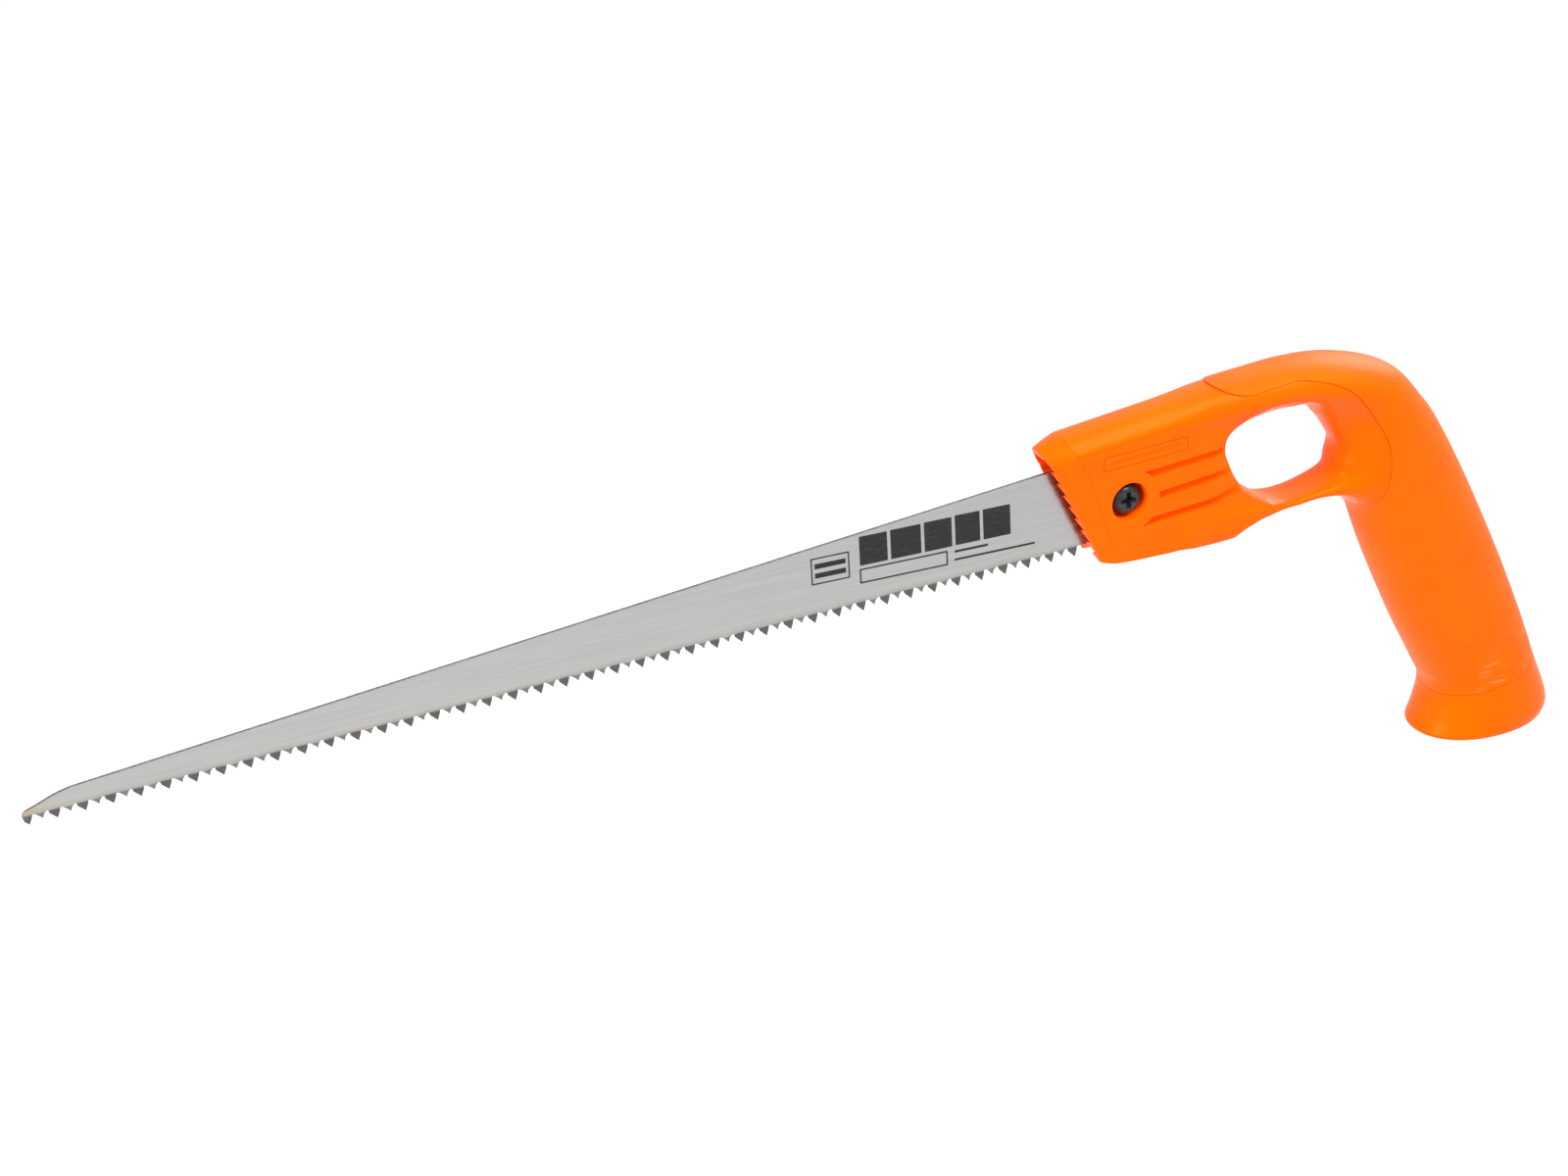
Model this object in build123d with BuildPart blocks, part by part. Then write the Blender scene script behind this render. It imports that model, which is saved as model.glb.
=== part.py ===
from build123d import *
import math
import os

# Compass saw: a tapered 300 mm blade clamped in a pistol-grip handle by one screw and one nut.
# Millimetres. Origin at the centre of the hand grip, in the blade's middle plane.
# +X runs along the tooth line from the blade's point to the handle, +Z is up (teeth point down)
# and the screw head is on the -Y side.
# Points written as pairs are (x, z) in the blade's middle plane, XZ.

# ---------------------------------------------------------------- driving dimensions: blade
TOOTH_LINE_Z = 30.0
TOE_X = -416.0
INCH = 25.4
TEETH_PER_INCH = 7
TOOTH_PITCH = INCH / TEETH_PER_INCH
TOOTH_COUNT = 83
TOOTH_DEPTH = 2.1
TOOTH_FACE_RUN = 1.0
GULLET_WIDTH = 0.4
BLADE_THICKNESS = 1.0
BLADE_BACK_START = (-404.5, 37.3)
BLADE_BACK_END = (-126.5, 56.9)
TANG_END_X = -78.0
TANG_TOP_Z = 58.0
TANG_BOTTOM_Z = 33.5
TANG_SLOT_RADIUS = 2.9
TANG_SLOT_LENGTH = 60.0
TANG_SHOULDER = (-112.0, TANG_TOP_Z)
TANG_NECK_X = -118.0
HEEL_X = TOE_X + TOOTH_COUNT * TOOTH_PITCH

# ---------------------------------------------------------------- driving dimensions: handle
NOSE_HALF_WIDTH = 8.0
NOSE_FRONT_TOP = (-129.4, 64.4)
NOSE_FRONT_BOTTOM = (-113.9, 30.0)
NOSE_CHAMFER_TOP = (-123.7, 67.3)
SPINE_TOP_END = (-76.8, 71.8)
NOSE_BELLY = (-96.4, 27.4)
NOSE_KEEL_START = (-88.0, 27.0)
NOSE_KEEL_END = (-71.0, 26.9)
KEEL_CURVE = (-66.0, 29.6)
STRUT_ROOT = (-62.0, 32.0)
HOLE_FRONT_BOTTOM = (-65.2, 37.0)
HOLE_FRONT_CURVE = (-68.9, 41.4)
HOLE_FRONT_MIDDLE = (-71.0, 47.0)
HOLE_FRONT_TOP = (-72.8, 59.0)
ROOF_RADIUS = 9.0
COLLAR_MIDDLE = (-114.9, 46.6)
COLLAR_DIRECTION = (-11.0, 33.2)
COLLAR_LENGTH = 8.2
COLLAR_INSET = 2.05
SKIN_THICKNESS = 2.0
REACH = 100.0

# The skin's front edge, from the spine's top down round the finger hole to the grip's front, and
# the straight seam above the butt.
SKIN_SEAM = [
    (-77.0, 73.0),
    (-66.0, 69.3),
    (-48.0, 69.8),
    (-35.0, 64.0),
    (-24.0, 47.0),
    (-23.5, 31.5),
    (-29.0, 25.6),
    (-42.0, 24.0),
]
BUTT_SEAM_FRONT = (-42.0, -50.9)
BUTT_SEAM_BACK = (60.0, -33.9)
BEHIND_BEND = (60.0, 80.0)
ABOVE_SPINE = (-77.0, 80.0)

# Each oval of the handle: point on its front or under side, point on its back or top side, and half
# its thickness across the hand. They run along the spine, round the bend and down to the butt.
HAND_OVALS = [
    ((-78.0, 60.2), (-76.4, 71.9), 7.6),
    ((-64.0, 60.4), (-63.6, 73.1), 8.8),
    ((-50.0, 60.6), (-47.4, 73.7), 10.3),
    ((-42.4, 57.6), (-30.9, 70.8), 12.0),
    ((-36.0, 50.9), (-16.1, 64.8), 13.0),
    ((-34.6, 41.0), (-6.9, 54.6), 13.8),
    ((-31.6, 31.5), (-0.6, 45.1), 14.1),
    ((-24.4, 11.3), (9.0, 26.2), 14.3),
    ((-13.2, -15.7), (20.8, -0.7), 14.4),
    ((-4.5, -34.2), (29.4, -22.9), 14.8),
    ((-1.2, -43.0), (34.4, -37.8), 15.6),
    ((-3.2, -51.5), (39.2, -52.2), 17.1),
    ((-5.3, -58.8), (39.5, -59.2), 16.8),
]

# The bar below the finger hole, in the same form.
STRUT_OVALS = [
    ((-76.0, 36.5), (-76.0, 28.2), 7.4),
    ((-62.0, 34.8), (-62.0, 28.8), 7.2),
    ((-50.0, 34.8), (-50.0, 29.7), 7.0),
    ((-40.0, 35.8), (-40.0, 30.0), 7.6),
    ((-30.0, 39.0), (-30.0, 27.0), 9.0),
]

# ---------------------------------------------------------------- driving dimensions: clamp
SCREW_AXIS = (-104.4, 45.9)
THREAD_RADIUS = 2.5
THREAD_CLEARANCE = 0.05
HEAD_RADIUS = 4.75
HEAD_HEIGHT = 3.7
HEAD_ROUNDING = 2.2
RECESS_SPAN = 5.2
RECESS_WIDTH = 1.1
RECESS_DEPTH = 2.4
SCREW_LENGTH = 10.0
WASHER_RADIUS = 5.0
WASHER_THICKNESS = 1.0
COUNTERBORE_RADIUS = 5.65
COUNTERBORE_DEPTH = 5.8
NUT_ACROSS_FLATS = 8.0
NUT_THICKNESS = 4.0
NUT_POCKET_DEPTH = 4.4
SLOT_CLEARANCE = 0.1
HOLE_CLEARANCE = 0.3
POCKET_CLEARANCE = 0.1
MOUTH_HALF_WIDTH = 3.3
MOUTH_LENGTH = 10.0
MOUTH_TOP_Z = 62.4
RIDGE_COUNT = 9
RIDGE_PITCH = 3.95
RIDGE_DEPTH = 2.1
RIDGE_SHARE = 0.9
SLOT_FRONT_X = -130.0
SLOT_BOTTOM_Z = 26.0

washer_seat_y = -NOSE_HALF_WIDTH + COUNTERBORE_DEPTH
head_seat_y = washer_seat_y - WASHER_THICKNESS
nut_seat_y = NOSE_HALF_WIDTH - NUT_POCKET_DEPTH
back_slope = (BLADE_BACK_END[1] - BLADE_BACK_START[1]) / (BLADE_BACK_END[0] - BLADE_BACK_START[0])


def side_plane(y):
    """Plane parallel to the blade at a given y, drawn in (x, z)."""
    return Plane(origin=(0, y, 0), x_dir=(1, 0, 0), z_dir=(0, -1, 0))


def screw_plane(y):
    """The same plane, centred on the screw's axis and facing the screw head's side."""
    return Plane(origin=(SCREW_AXIS[0], y, SCREW_AXIS[1]), x_dir=(1, 0, 0), z_dir=(0, -1, 0))


def oval_form(ovals, inset):
    """A smooth form through ovals that stand square to the blade's plane."""
    with BuildPart() as form:
        for near, far, half_thickness in ovals:
            span_x = far[0] - near[0]
            span_z = far[1] - near[1]
            middle = ((near[0] + far[0]) / 2, 0, (near[1] + far[1]) / 2)
            plane = Plane(origin=middle, x_dir=(span_x, 0, span_z), z_dir=(span_z, 0, -span_x))
            with BuildSketch(plane):
                Ellipse(math.hypot(span_x, span_z) / 2 - inset, half_thickness - inset)
        loft()
    return form.part


def blade_back_z(x):
    """Height of the blade's straight back edge."""
    return BLADE_BACK_START[1] + back_slope * (x - BLADE_BACK_START[0])


def tooth_points():
    """Tips and gullets from the heel to the toe; each tooth's steep face looks to the handle."""
    points = []
    for index in reversed(range(TOOTH_COUNT)):
        tip_x = TOE_X + index * TOOTH_PITCH
        points.append((tip_x + TOOTH_FACE_RUN, TOOTH_LINE_Z + TOOTH_DEPTH))
        points.append((tip_x, TOOTH_LINE_Z))
        if index > 0:
            gullet_x = tip_x - TOOTH_PITCH + TOOTH_FACE_RUN + GULLET_WIDTH
            points.append((gullet_x, TOOTH_LINE_Z + TOOTH_DEPTH))
    return points


# ---------------------------------------------------------------- blade
with BuildPart() as blade:
    with BuildSketch(side_plane(0)):
        with BuildLine():
            toe_tip = (TOE_X, TOOTH_LINE_Z)
            toe_back = (TOE_X - 1.6, TOOTH_LINE_Z + 2.3)
            toe_crown = (TOE_X - 0.6, TOOTH_LINE_Z + 3.6)
            heel = (HEEL_X, TANG_BOTTOM_Z)
            Polyline([heel] + tooth_points())
            ThreePointArc(toe_tip, (TOE_X - 1.2, TOOTH_LINE_Z + 0.9), toe_back)
            ThreePointArc(toe_back, (TOE_X - 1.4, TOOTH_LINE_Z + 3.1), toe_crown)
            Spline(
                toe_crown,
                BLADE_BACK_START,
                tangents=[(2, 1.3), (1, back_slope)],
            )
            Polyline(
                BLADE_BACK_START,
                (TANG_NECK_X, blade_back_z(TANG_NECK_X)),
                TANG_SHOULDER,
                (TANG_END_X, TANG_TOP_Z),
                (TANG_END_X, TANG_BOTTOM_Z),
                heel,
            )
        make_face()
    extrude(amount=BLADE_THICKNESS / 2, both=True)
    with BuildSketch(screw_plane(0)):
        with Locations((TANG_SLOT_LENGTH / 2, 0)):
            SlotCenterToCenter(TANG_SLOT_LENGTH, 2 * TANG_SLOT_RADIUS)
    extrude(amount=BLADE_THICKNESS, both=True, mode=Mode.SUBTRACT)

# ---------------------------------------------------------------- handle: outer forms
with BuildPart() as nose_block:
    with BuildSketch(side_plane(0)):
        with BuildLine():
            Polyline(
                HOLE_FRONT_MIDDLE,
                HOLE_FRONT_TOP,
                SPINE_TOP_END,
                NOSE_CHAMFER_TOP,
                NOSE_FRONT_TOP,
                NOSE_FRONT_BOTTOM,
                NOSE_BELLY,
                NOSE_KEEL_START,
                NOSE_KEEL_END,
            )
            Spline(NOSE_KEEL_END, KEEL_CURVE, STRUT_ROOT, tangents=[(1, 0), (1, 0.6)])
            Line(STRUT_ROOT, HOLE_FRONT_BOTTOM)
            ThreePointArc(HOLE_FRONT_BOTTOM, HOLE_FRONT_CURVE, HOLE_FRONT_MIDDLE)
        make_face()
    extrude(amount=NOSE_HALF_WIDTH, both=True)
    # rounded roof: an arch on a block, drawn square to the spine's rising top line
    spine_rise = (SPINE_TOP_END[0] - NOSE_CHAMFER_TOP[0], 0, SPINE_TOP_END[1] - NOSE_CHAMFER_TOP[1])
    roof_plane = Plane(
        origin=(NOSE_CHAMFER_TOP[0], 0, NOSE_CHAMFER_TOP[1]), x_dir=(0, 1, 0), z_dir=spine_rise
    )
    with BuildSketch(roof_plane):
        with Locations((0, -ROOF_RADIUS)):
            Circle(ROOF_RADIUS)
            Rectangle(2 * ROOF_RADIUS, REACH, align=(Align.CENTER, Align.MAX))
    extrude(amount=REACH, both=True, mode=Mode.INTERSECT)
    # collar: both cheeks are drawn in towards the nose's front face
    collar_plane = Plane(
        origin=(COLLAR_MIDDLE[0], 0, COLLAR_MIDDLE[1]),
        x_dir=(COLLAR_DIRECTION[1], 0, -COLLAR_DIRECTION[0]),
        z_dir=(COLLAR_DIRECTION[0], 0, COLLAR_DIRECTION[1]),
    )
    with BuildSketch(collar_plane):
        for side in (1, -1):
            with BuildLine():
                Polyline(
                    (0, side * NOSE_HALF_WIDTH),
                    (-2 * COLLAR_LENGTH, side * (NOSE_HALF_WIDTH - 2 * COLLAR_INSET)),
                    (-2 * COLLAR_LENGTH, side * 2 * NOSE_HALF_WIDTH),
                    (0, side * 2 * NOSE_HALF_WIDTH),
                    close=True,
                )
            make_face()
    extrude(amount=REACH / 2, both=True, mode=Mode.SUBTRACT)

outer_grip = oval_form(HAND_OVALS, 0)
inner_grip = oval_form(HAND_OVALS, SKIN_THICKNESS)
strut = oval_form(STRUT_OVALS, 0)

# ---------------------------------------------------------------- grip skin
with BuildPart() as grip_skin:
    with BuildSketch(side_plane(0)):
        with BuildLine():
            Spline(SKIN_SEAM)
            Polyline(SKIN_SEAM[-1], BUTT_SEAM_FRONT, BUTT_SEAM_BACK, BEHIND_BEND, ABOVE_SPINE, SKIN_SEAM[0])
        make_face()
    extrude(amount=REACH, both=True)
    add(outer_grip, mode=Mode.INTERSECT)
    add(inner_grip, mode=Mode.SUBTRACT)

# ---------------------------------------------------------------- handle core
tang_slot_half_width = BLADE_THICKNESS / 2 + SLOT_CLEARANCE
tang_slot_end_x = TANG_END_X + 1
tang_slot_top_z = TANG_TOP_Z + 0.5
below_nose_z = NOSE_FRONT_BOTTOM[1] - 8
front_lean = (NOSE_FRONT_BOTTOM[0] - NOSE_FRONT_TOP[0]) / (NOSE_FRONT_TOP[1] - NOSE_FRONT_BOTTOM[1])


def front_x(z):
    """Where the nose's leaning front face stands at a height."""
    return NOSE_FRONT_BOTTOM[0] - front_lean * (z - NOSE_FRONT_BOTTOM[1])


def ridged_wall(side):
    """One wall of the mouth seen from the front, as (y, z) points from the top down."""
    points = []
    for index in range(RIDGE_COUNT):
        ridge_z = MOUTH_TOP_Z - index * RIDGE_PITCH
        points.append((side * MOUTH_HALF_WIDTH, ridge_z))
        points.append((side * (MOUTH_HALF_WIDTH + RIDGE_DEPTH), ridge_z - RIDGE_SHARE * RIDGE_PITCH))
    points.append((side * MOUTH_HALF_WIDTH, MOUTH_TOP_Z - RIDGE_COUNT * RIDGE_PITCH))
    points.append((side * MOUTH_HALF_WIDTH, below_nose_z))
    return points


# The mouth is open to the front and below, and its walls carry ridges that run front to back.
with BuildPart() as mouth:
    with BuildSketch(side_plane(0)):
        with BuildLine():
            Polyline(
                (SLOT_FRONT_X - MOUTH_LENGTH, MOUTH_TOP_Z),
                (front_x(MOUTH_TOP_Z) + MOUTH_LENGTH, MOUTH_TOP_Z),
                (front_x(below_nose_z) + MOUTH_LENGTH, below_nose_z),
                (SLOT_FRONT_X - MOUTH_LENGTH, below_nose_z),
                close=True,
            )
        make_face()
    extrude(amount=NOSE_HALF_WIDTH, both=True)
    with BuildSketch(Plane.YZ.offset(SLOT_FRONT_X - 2 * MOUTH_LENGTH)):
        with BuildLine():
            Polyline(ridged_wall(1) + ridged_wall(-1)[::-1], close=True)
        make_face()
    extrude(amount=REACH, mode=Mode.INTERSECT)

with BuildPart() as handle_core:
    add(nose_block.part)
    add(outer_grip)
    add(strut)
    add(grip_skin.part, mode=Mode.SUBTRACT)
    add(mouth.part, mode=Mode.SUBTRACT)
    # slot for the tang
    with BuildSketch(side_plane(0)):
        with Locations(((SLOT_FRONT_X + tang_slot_end_x) / 2, (SLOT_BOTTOM_Z + tang_slot_top_z) / 2)):
            Rectangle(tang_slot_end_x - SLOT_FRONT_X, tang_slot_top_z - SLOT_BOTTOM_Z)
    extrude(amount=tang_slot_half_width, both=True, mode=Mode.SUBTRACT)
    # screw hole, counterbore and nut pocket
    with BuildSketch(screw_plane(0)):
        Circle(THREAD_RADIUS + HOLE_CLEARANCE)
    extrude(amount=NOSE_HALF_WIDTH, both=True, mode=Mode.SUBTRACT)
    with BuildSketch(screw_plane(-NOSE_HALF_WIDTH)):
        Circle(COUNTERBORE_RADIUS)
    extrude(amount=-COUNTERBORE_DEPTH, mode=Mode.SUBTRACT)
    with BuildSketch(screw_plane(NOSE_HALF_WIDTH)):
        RegularPolygon(NUT_ACROSS_FLATS / 2 + POCKET_CLEARANCE, 6, major_radius=False)
    extrude(amount=NUT_POCKET_DEPTH, mode=Mode.SUBTRACT)

# ---------------------------------------------------------------- clamp hardware
with BuildPart() as washer:
    with BuildSketch(screw_plane(washer_seat_y)):
        Circle(WASHER_RADIUS)
        Circle(THREAD_RADIUS + THREAD_CLEARANCE, mode=Mode.SUBTRACT)
    extrude(amount=WASHER_THICKNESS)

with BuildPart() as clamp_screw:
    with BuildSketch(screw_plane(head_seat_y)):
        Circle(THREAD_RADIUS)
    extrude(amount=-SCREW_LENGTH)
    with BuildSketch(screw_plane(head_seat_y)):
        Circle(HEAD_RADIUS)
    extrude(amount=HEAD_HEIGHT)
    fillet(clamp_screw.edges().sort_by(Axis.Y)[0], HEAD_ROUNDING)
    with BuildSketch(screw_plane(head_seat_y - HEAD_HEIGHT)):
        Rectangle(RECESS_SPAN, RECESS_WIDTH)
        Rectangle(RECESS_WIDTH, RECESS_SPAN)
    extrude(amount=-RECESS_DEPTH, mode=Mode.SUBTRACT)

with BuildPart() as clamp_nut:
    with BuildSketch(screw_plane(nut_seat_y + NUT_THICKNESS)):
        RegularPolygon(NUT_ACROSS_FLATS / 2, 6, major_radius=False)
        Circle(THREAD_RADIUS + THREAD_CLEARANCE, mode=Mode.SUBTRACT)
    extrude(amount=NUT_THICKNESS)

# ---------------------------------------------------------------- labels and files
blade.part.label = "blade"
handle_core.part.label = "handle_core"
grip_skin.part.label = "grip_skin"
clamp_screw.part.label = "clamp_screw"
washer.part.label = "washer"
clamp_nut.part.label = "clamp_nut"

os.makedirs("parts", exist_ok=True)
export_step(blade.part, "parts/blade.step")
export_step(handle_core.part, "parts/handle_core.step")
export_step(grip_skin.part, "parts/grip_skin.step")
export_step(clamp_screw.part, "parts/clamp_screw.step")
export_step(washer.part, "parts/washer.step")
export_step(clamp_nut.part, "parts/clamp_nut.step")
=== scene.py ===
import math

import bmesh
import bpy
import numpy as np
from mathutils import Matrix, Vector


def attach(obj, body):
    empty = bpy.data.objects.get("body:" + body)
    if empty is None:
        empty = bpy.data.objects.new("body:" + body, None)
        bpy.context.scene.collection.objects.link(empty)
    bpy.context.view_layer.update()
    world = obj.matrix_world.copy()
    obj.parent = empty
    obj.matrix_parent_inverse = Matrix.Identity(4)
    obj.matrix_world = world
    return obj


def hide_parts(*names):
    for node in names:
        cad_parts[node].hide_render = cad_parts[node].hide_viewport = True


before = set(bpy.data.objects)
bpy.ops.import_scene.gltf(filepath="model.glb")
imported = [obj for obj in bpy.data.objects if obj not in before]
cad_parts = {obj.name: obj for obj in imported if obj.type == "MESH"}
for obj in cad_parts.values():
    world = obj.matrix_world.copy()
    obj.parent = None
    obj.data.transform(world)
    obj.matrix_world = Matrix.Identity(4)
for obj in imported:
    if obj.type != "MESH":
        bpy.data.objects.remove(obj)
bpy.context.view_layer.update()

# A compass saw in an orange pistol-grip handle. The frame's origin is the centre of the grip, +X runs
# from the blade's point to the handle, +Z is up with the teeth down, and the screw head is on -Y.
# Sizes below are millimetres unless they say metres; pairs are (x, z) in the blade's middle plane.
MM = 0.001

# ---------------------------------------------------------------- camera, in metres and degrees
CAMERA_LOCATION = (-0.5597, -0.8294, 0.4949)
CAMERA_AZIMUTH = -23.064
CAMERA_ELEVATION = 26.667
CAMERA_ROLL = -3.408
CAMERA_LENS = 86.04

# ---------------------------------------------------------------- light and colour
FLOOR_Z = -900.0
FLOOR_HALF_SIZE = 30.0
FLOOR_WHITE = (0.95, 0.95, 0.95)
WORLD_STRENGTH = 1.0
LIGHTS = [
    ("key", (0.25, -0.65, 1.1), 0.8, 27),
    ("left", (-1.3, -0.3, 0.35), 0.6, 18),
    ("back", (0.9, 0.7, 0.6), 0.6, 8),
]
ORANGE = (0.95, 0.083, 0.0)
ORANGE_DEEP = (0.95, 0.077, 0.0)
ORANGE_SCUFF = (0.95, 0.19, 0.08)
PLASTIC_SPECULAR = 0.3
PLASTIC_IOR = 1.3
PLASTIC_TINT = (1.0, 0.55, 0.12)
# painted shade: the darker red of the parting lines, standing in for the shade in their fine grooves
PARTING_SHADE_RED = (0.6, 0.03, 0.0)
STEEL = (0.39, 0.39, 0.38)
STEEL_PALE = (0.44, 0.44, 0.43)
STEEL_TINT = (0.33, 0.26, 0.22)
STEEL_GOLD = (0.44, 0.37, 0.25)
STEEL_DARK = (0.14, 0.14, 0.145)
STEEL_GROUND = (0.88, 0.88, 0.86)

# ---------------------------------------------------------------- handle
CELL = 0.5
GRID_LOW = (-134.0, -20.0, -66.0)
GRID_HIGH = (46.0, 20.0, 78.0)

# Each oval of the grip: front or lower point, back or upper point, half its thickness. They run from
# inside the nose along the spine, round the bend and down to the butt.
HAND_OVALS = [
    ((-100.0, 55.0), (-99.0, 67.5), 6.6),
    ((-88.0, 59.3), (-86.8, 69.8), 7.6),
    ((-78.0, 59.8), (-76.6, 71.7), 8.5),
    ((-64.0, 60.0), (-63.4, 72.7), 9.3),
    ((-50.0, 60.4), (-47.0, 73.2), 10.3),
    ((-41.5, 59.4), (-30.8, 70.7), 12.0),
    ((-32.2, 52.8), (-16.1, 64.8), 13.0),
    ((-31.0, 42.5), (-7.0, 54.5), 13.8),
    ((-30.3, 32.0), (-0.8, 45.0), 14.1),
    ((-24.3, 11.4), (8.7, 26.1), 14.3),
    ((-13.3, -15.7), (20.6, -0.8), 14.4),
    ((-4.5, -34.2), (29.2, -23.0), 14.8),
    ((-0.7, -43.0), (34.2, -37.9), 15.6),
    ((-2.3, -51.3), (39.0, -52.0), 17.0),
    ((-5.2, -57.5), (37.6, -57.7), 16.8),
]
HAND_ROUNDNESS = 2.15
BUTT_ROUNDING = 1.6

# The bar below the finger hole.
STRUT_OVALS = [
    ((-84.0, 36.5), (-84.0, 28.4), 6.4),
    ((-72.0, 33.6), (-72.0, 29.0), 7.0),
    ((-62.0, 33.4), (-62.0, 29.8), 7.0),
    ((-50.0, 33.7), (-50.0, 29.5), 7.0),
    ((-40.0, 35.0), (-40.0, 30.1), 7.6),
    ((-28.0, 38.0), (-28.0, 27.4), 9.0),
]
STRUT_ROUNDNESS = 2.4
STRUT_FILLET = 7.5
SPINE_FILLET = 1.5
SPINE_HEIGHTS = (48.0, 60.0)

# The finger hole, and the full-round rim on its side towards the grip.
HOLE_OUTLINE = [
    (-36.1, 43.4),
    (-38.0, 48.0),
    (-41.6, 53.4),
    (-46.8, 58.0),
    (-53.4, 60.3),
    (-60.7, 60.5),
    (-67.0, 59.9),
    (-71.4, 57.4),
    (-72.7, 53.4),
    (-71.4, 48.8),
    (-68.6, 43.0),
    (-64.6, 38.2),
    (-58.8, 35.6),
    (-52.0, 35.2),
    (-44.8, 35.7),
    (-38.4, 38.4),
]
RIM_HALF_THICKNESS = 7.2
RIM_DEPTH_LOW = 2.6
RIM_DEPTH_HIGH = 6.0
RIM_HEIGHTS = (35.0, 46.0)
RIM_FILLET = 5.0
RIM_START = (-45.0, 36.0)
RIM_END_ROUNDING = 5.0

# The nose: a flat-sided block ahead of the finger hole, under a rounded roof. Its front face
# leans back and bows forward, and a collar ahead of COLLAR_LINE draws its cheeks and roof in. Its tail
# runs out along the bar below the hole, and narrows to the bar's width.
NOSE_HALF_WIDTH = 8.0
NOSE_OUTLINE = [
    (-57.0, 34.6),
    (-57.0, 58.0),
    (-47.0, 62.0),
    (-50.0, 66.5),
    (-66.0, 71.2),
    (-76.8, 71.5),
    (-140.0, 66.0),
    (-140.0, 28.2),
    (-113.4, 28.2),
    (-104.0, 27.3),
    (-92.0, 26.8),
    (-71.2, 27.0),
    (-67.8, 29.8),
    (-63.0, 32.4),
    (-58.0, 34.0),
]
ROOF_RADIUS = 9.0
ROOF_LINE = ((-123.7, 67.5), (-76.8, 71.9))
FRONT_LINE = ((-114.1, 30.0), (-129.6, 65.0))
FRONT_BOW_RADIUS = 34.0
COLLAR_LINE = ((-109.4, 30.0), (-120.4, 63.2))
COLLAR_SIDE_INSET = 2.05
COLLAR_ROOF_INSET = 2.3
TAIL_INSET = 1.5
TAIL_X = (-78.0, -58.0)
TAIL_Z = (50.0, 42.0)
COLLAR_CURVE = 1.15
CRISP_EDGE = 0.45
ROOF_EDGE = 0.35
ROOF_SOFTENING = 2.0
ROOF_SOFT_X = (-88.0, -74.0)
ROOF_SOFT_Z = (29.0, 35.0)
HOLE_EDGE = 3.6
RIM_EDGE = 6.0
RIM_EDGE_X = (-68.0, -58.0)

# ---------------------------------------------------------------- what is cut into the handle
MOUTH_HALF_WIDTH = 3.3
MOUTH_DEPTH = 11.0
MOUTH_TOP_Z = 62.4
MOUTH_FLARE = 0.4
OPEN_FRONT_X = -145.0
OPEN_BELOW_Z = 20.0
RIDGE_COUNT = 9
RIDGE_PITCH = 3.95
RIDGE_DEPTH = 2.3
RIDGE_SHARE = 0.88
SLOT_HALF_WIDTH = 0.6
SLOT_RIGHT_X = -77.0
SLOT_TOP_Z = 58.5
SCREW_AXIS = (-104.4, 45.9)
HOLE_RADIUS = 2.8
COUNTERBORE_RADIUS = 5.65
COUNTERBORE_DEPTH = 5.8
NUT_ACROSS_FLATS = 8.0
NUT_POCKET_DEPTH = 4.4

# Each groove of the cheek: heights of its upper side at its start and at the two stations. They start
# on a ring round the screw and run out over the finger hole's edge.
GROOVE_RING_RADIUS = 9.2
GROOVE_WIDTH = 2.3
GROOVE_DEPTH = 1.5
GROOVE_TAPER = 0.9
GROOVE_STEPS = 6
GROOVE_STATIONS = (-77.0, -64.0)
GROOVES = [(54.0, 55.2, 55.8), (46.9, 48.3, 50.2), (39.6, 40.8, 44.4)]
LABEL_CORNERS = [(-112.7, 56.8), (-86.0, 57.5), (-86.0, 61.7), (-112.6, 61.1)]
LABEL_MARK = [(-110.0, 58.6), (-89.0, 58.9), (-89.0, 60.4), (-110.0, 59.2)]
LABEL_LINE = 0.3
LABEL_DEPTH = 0.18

# Painted shade along the mould's faint parting lines: darker red lines round the collar and along the
# crease between cheek and roof, standing in for the shade in their fine grooves.
PARTING_SHADE_WIDTH = 0.16
PARTING_SHADE_SHARE = 0.55
SHADED_PARTING_LINES = [
    ((-120.4, 63.2), (-122.9, 67.0)),
    ((-120.4, 63.2), (-116.9, 56.0)),
    ((-116.9, 56.0), (-110.2, 33.0)),
    ((-120.4, 62.9), (-82.0, 65.8)),
]

# ---------------------------------------------------------------- grip skin
SKIN_THICKNESS = 2.0
SEAM_GAP = 0.2
SKIN_SEAM = [
    (-77.0, 73.0),
    (-72.0, 70.6),
    (-66.0, 69.3),
    (-57.0, 69.9),
    (-48.0, 69.8),
    (-35.0, 64.0),
    (-24.0, 47.0),
    (-23.5, 31.5),
    (-29.0, 25.6),
    (-42.0, 24.0),
]
BUTT_SEAM = [(-42.0, -50.9), (60.0, -33.9)]
ZONE_HALF_WIDTH = 30.0
ZONE_FAR_X = 60.0
ZONE_TOP_Z = 90.0
SKIN_RISE = 0.4
SKIN_RISE_X = (-46.0, -70.0)
INNER_STRIDE = 2

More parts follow.
